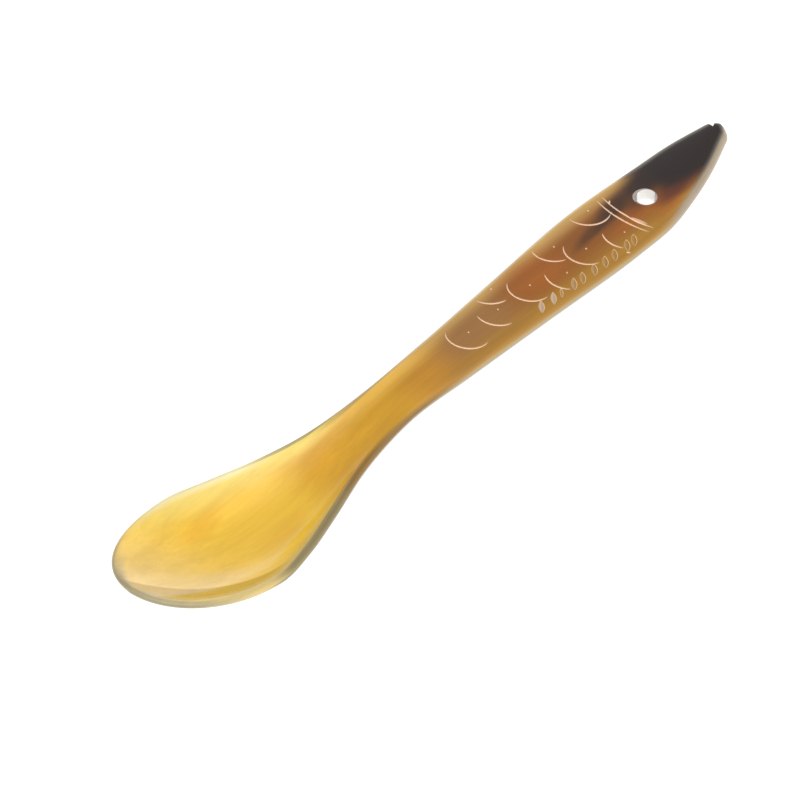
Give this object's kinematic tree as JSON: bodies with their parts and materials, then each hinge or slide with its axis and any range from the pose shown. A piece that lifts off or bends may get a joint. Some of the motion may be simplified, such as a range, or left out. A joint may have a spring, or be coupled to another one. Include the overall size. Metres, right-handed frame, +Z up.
{
  "type": "horn spoon",
  "caption": "Spoon cut from a plate of horn, with a shallow pressed bowl and a flat handle shaped as a fish, with engraved scales and gills and an eye drilled through.",
  "frame": {"origin": "on the ground under the middle of the length, on the middle line of the bowl, with the spoon lying as it rests on the bowl and the snout", "axes": "+X runs from the bowl to the fish's snout, +Y is the fish's back, +Z is up, out of the bowl"},
  "size_m": [0.17, 0.0294, 0.0142],
  "materials": {
    "horn": "gloss"
  },
  "bodies": {
    "root": {"spoon": "horn"}
  },
  "joints": []
}
